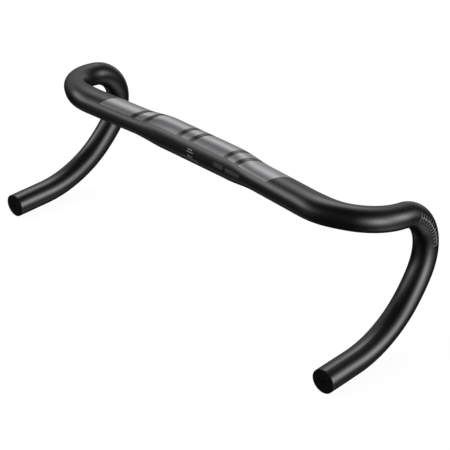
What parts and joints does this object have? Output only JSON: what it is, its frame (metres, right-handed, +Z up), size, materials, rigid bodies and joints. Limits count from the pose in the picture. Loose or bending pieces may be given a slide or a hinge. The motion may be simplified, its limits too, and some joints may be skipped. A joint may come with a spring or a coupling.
{
  "type": "drop handlebar",
  "caption": "Compact road bicycle drop handlebar in black aluminium tube with a central clamp bulge, flattened tops, slanted silver stripes, lever height scales and bar-end plugs.",
  "frame": {"origin": "on the stem clamp axis, at the middle of the bar", "axes": "+X along the clamp axis to the rider's right, +Y forwards in the riding direction, +Z up; the drop ends point to -Y and lie level"},
  "size_m": [0.452, 0.1549, 0.1516],
  "materials": {
    "black_anodised": "satin black anodised",
    "silver_film": "satin silver-grey printed film",
    "pale_print": "fine pale grey print",
    "grey_print": "dark grey print",
    "plug_plastic": "fine matt moulded",
    "plug_rubber": "matt",
    "nut_alloy": "turned",
    "black_screw": "black oxide"
  },
  "bodies": {
    "bar": {"bar_tube": "black_anodised", "top_band_left_outer": "silver_film", "top_slash_left": "silver_film", "top_band_left_inner": "silver_film", "top_slash_centre": "silver_film", "top_band_right_inner": "silver_film", "top_slash_right": "silver_film", "top_band_right_outer": "silver_film", "clamp_alignment_marks": "pale_print", "rear_label": "grey_print", "lever_scale_right": "pale_print", "lever_scale_left": "pale_print"},
    "right_plug": {"right_plug_cap": "plug_plastic", "right_plug_sleeve": "plug_rubber"},
    "right_screw": {"right_plug_screw": "black_screw"},
    "right_wedge_nut": {"right_plug_wedge_nut": "nut_alloy"},
    "left_plug": {"left_plug_cap": "plug_plastic", "left_plug_sleeve": "plug_rubber"},
    "left_screw": {"left_plug_screw": "black_screw"},
    "left_wedge_nut": {"left_plug_wedge_nut": "nut_alloy"}
  },
  "joints": [
    {"name": "right_plug_pull", "type": "slide", "parent": "bar", "child": "right_plug", "axis": [0, -1, 0], "range_m": [0, 0.036]},
    {"name": "right_screw_turn", "type": "hinge", "parent": "right_plug", "child": "right_screw", "pos_m": [0.21406, -0.06422, -0.12369], "axis": [0, -1, 0], "range_deg": [0, 1350]},
    {"name": "right_nut_travel", "type": "slide", "parent": "right_plug", "child": "right_wedge_nut", "axis": [0, 1, 0], "range_m": [0, 0.003]},
    {"name": "left_plug_pull", "type": "slide", "parent": "bar", "child": "left_plug", "axis": [0, -1, 0], "range_m": [0, 0.036]},
    {"name": "left_screw_turn", "type": "hinge", "parent": "left_plug", "child": "left_screw", "pos_m": [-0.21406, -0.06422, -0.12369], "axis": [0, -1, 0], "range_deg": [0, 1350]},
    {"name": "left_nut_travel", "type": "slide", "parent": "left_plug", "child": "left_wedge_nut", "axis": [0, 1, 0], "range_m": [0, 0.003]}
  ],
  "couplings": [
    {"joint": "right_screw_turn", "follows": "right_nut_travel", "rad_per_m": 7854},
    {"joint": "left_screw_turn", "follows": "left_nut_travel", "rad_per_m": 7854}
  ]
}
